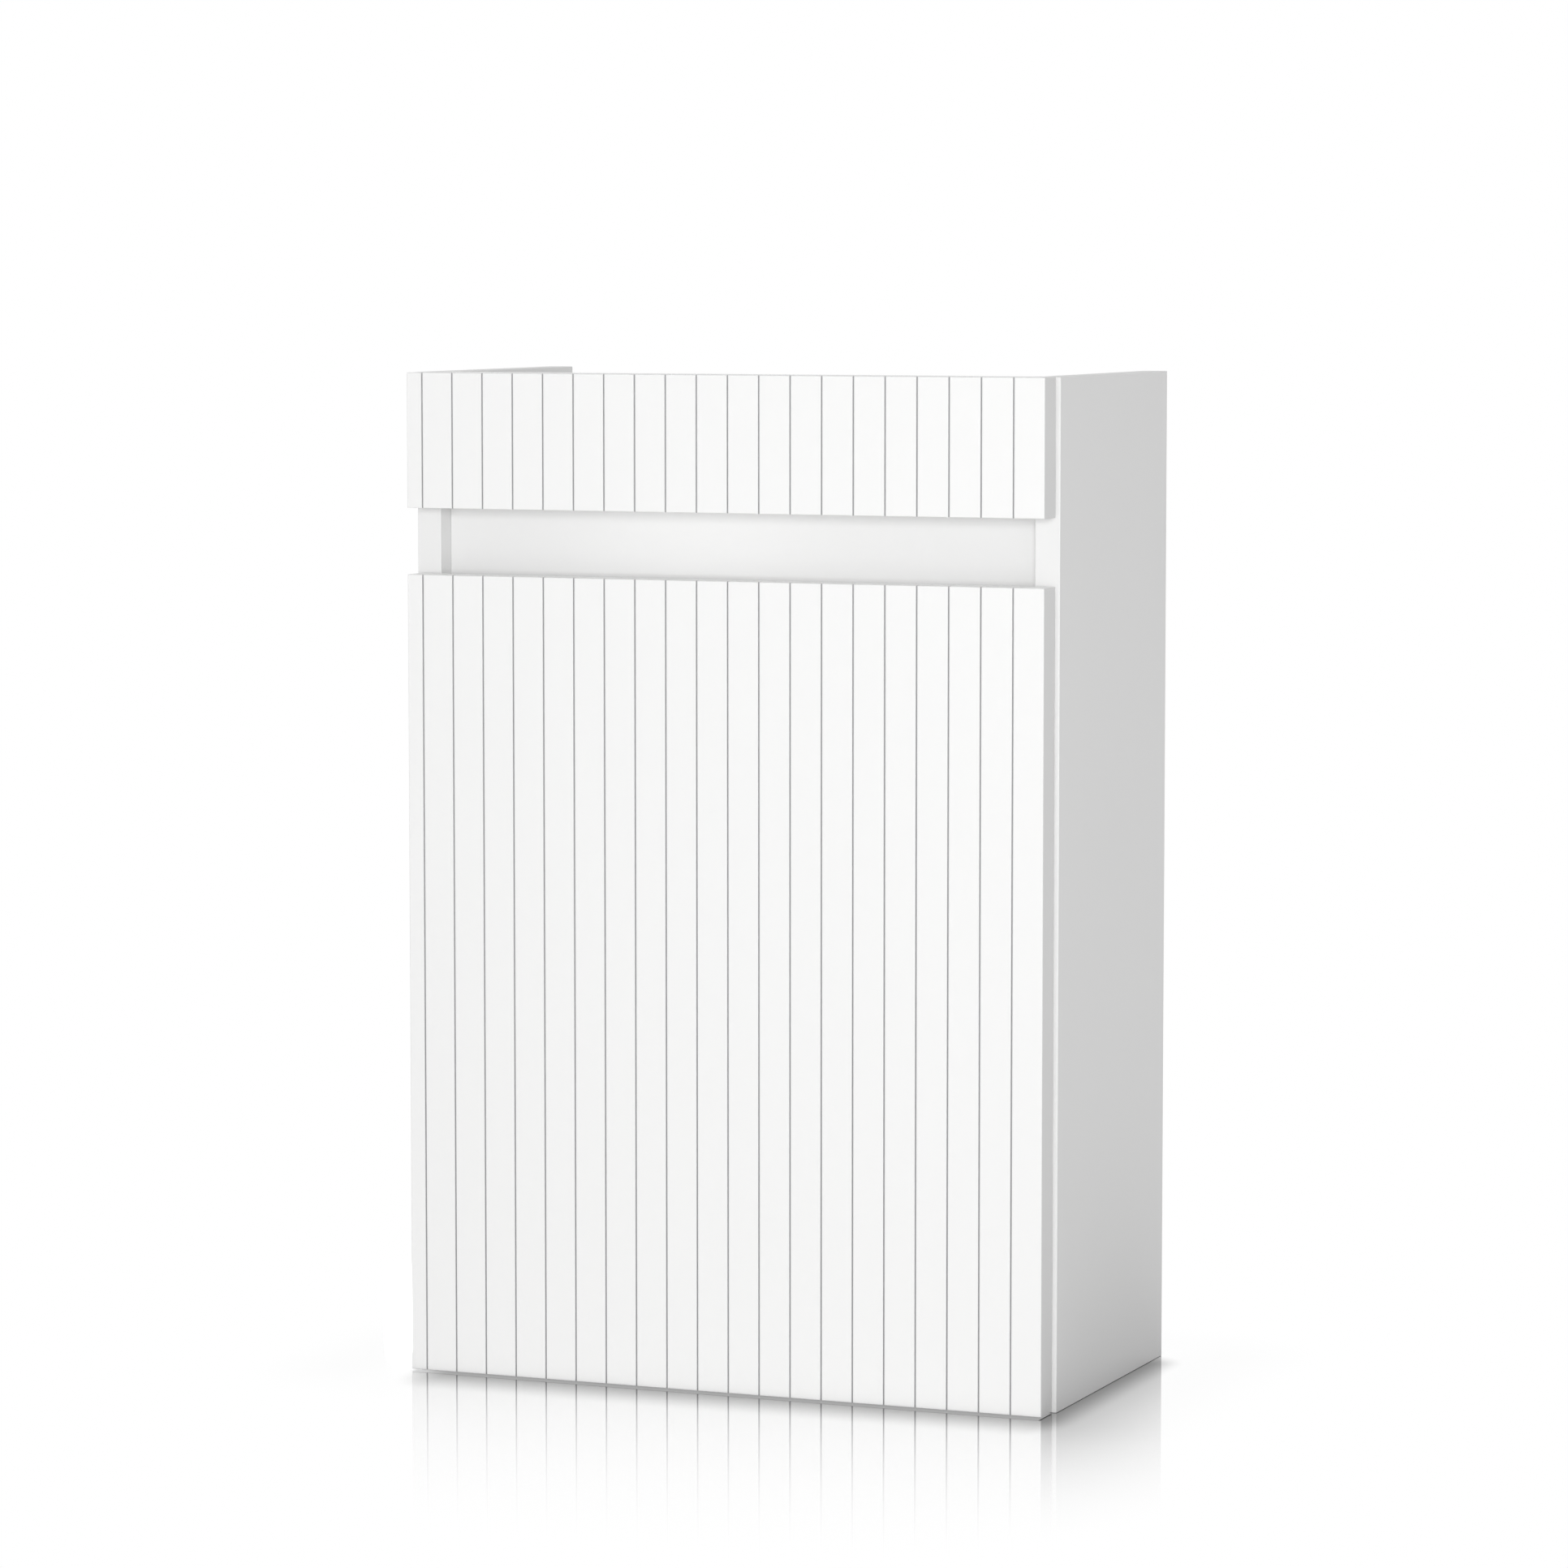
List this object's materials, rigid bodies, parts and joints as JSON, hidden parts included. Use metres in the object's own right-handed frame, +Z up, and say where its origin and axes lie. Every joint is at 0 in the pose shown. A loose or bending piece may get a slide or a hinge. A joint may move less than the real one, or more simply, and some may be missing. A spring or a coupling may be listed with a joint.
{
  "type": "bathroom cabinet",
  "caption": "Slim white floor-standing bathroom base cabinet with a grooved hinged door, a grooved fixed fascia and a finger-pull recess between them, open on top for a basin.",
  "frame": {"origin": "centre of the footprint, on the floor", "axes": "+Z up, -Y out of the door's front, +X to the right as seen from the front"},
  "size_m": [0.4, 0.21, 0.59],
  "materials": {
    "front_lacquer": "satin white lacquer on fibreboard",
    "carcass_board": "satin white faced board",
    "nickel_steel": "nickel plated",
    "zinc_plated_steel": "bright zinc plated",
    "zinc_casting": "as-cast zinc, satin",
    "beech": "raw turned beech",
    "catch_plastic": "moulded, fine grain",
    "ferrite": "ground ferrite",
    "clear_rubber": "soft, slightly milky"
  },
  "bodies": {
    "carcass": {"left_side_panel": "carcass_board", "right_side_panel": "carcass_board", "bottom_panel": "carcass_board", "fascia_rail": "carcass_board", "recess_rail": "carcass_board", "rear_top_rail": "carcass_board", "rear_bottom_rail": "carcass_board", "adjustable_shelf": "carcass_board", "top_fascia": "front_lacquer", "shelf_pins": "nickel_steel", "cam_locks": "zinc_casting", "cam_bolts": "zinc_plated_steel", "wood_dowels": "beech", "upper_hinge_frame_leaf": "nickel_steel", "lower_hinge_frame_leaf": "nickel_steel", "hinge_pins": "nickel_steel", "frame_leaf_screws": "zinc_plated_steel", "fascia_screws": "zinc_plated_steel", "catch_housing": "catch_plastic", "catch_magnet": "ferrite", "catch_poles": "zinc_plated_steel", "catch_screws": "zinc_plated_steel"},
    "door": {"door": "front_lacquer", "upper_hinge_door_leaf": "nickel_steel", "lower_hinge_door_leaf": "nickel_steel", "door_leaf_screws": "zinc_plated_steel", "strike_plate": "nickel_steel", "strike_screws": "zinc_plated_steel", "door_bumpers": "clear_rubber"}
  },
  "joints": [
    {"name": "door_hinge", "type": "hinge", "parent": "carcass", "child": "door", "pos_m": [-0.1975, -0.0882, 0.2364], "axis": [0, 0, -1], "range_deg": [0, 120]}
  ]
}
